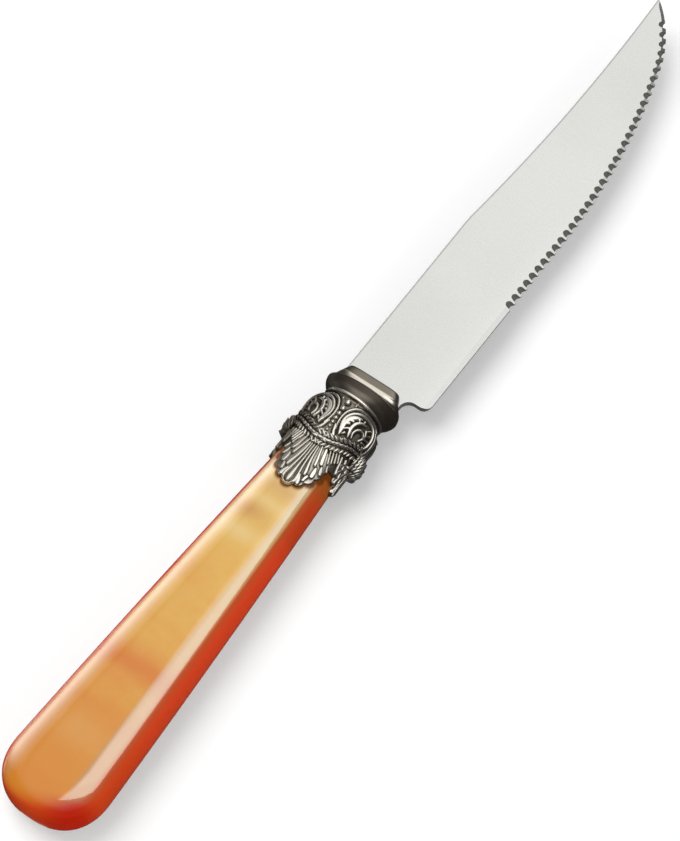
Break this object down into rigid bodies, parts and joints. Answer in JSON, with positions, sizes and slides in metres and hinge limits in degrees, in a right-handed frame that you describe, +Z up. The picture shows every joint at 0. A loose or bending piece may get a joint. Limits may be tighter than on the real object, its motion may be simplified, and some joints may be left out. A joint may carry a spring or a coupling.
{
  "type": "steak knife",
  "caption": "Table steak knife with a serrated, clip-backed steel blade, an ornate antiqued metal collar and bolster, and a tapered pearly amber-red handle.",
  "frame": {"origin": "on the surface below the middle of the whole knife, which lies on its side", "axes": "+X along the knife to its point, +Y across the blade from edge to spine, +Z up, square to the blade"},
  "size_m": [0.229, 0.024, 0.0146],
  "materials": {
    "blade_steel": "fine satin ground steel",
    "antique_metal": "cast metal with an antiqued silver finish, dark in the hollows and bright on the heights",
    "pearl_acrylic": "polished pearly acrylic, amber on the faces and red at the edges",
    "cement": "set resin cement"
  },
  "bodies": {
    "root": {"blade": "blade_steel", "bolster": "antique_metal", "collar": "antique_metal", "handle": "pearl_acrylic", "tang_cement": "cement"}
  },
  "joints": []
}
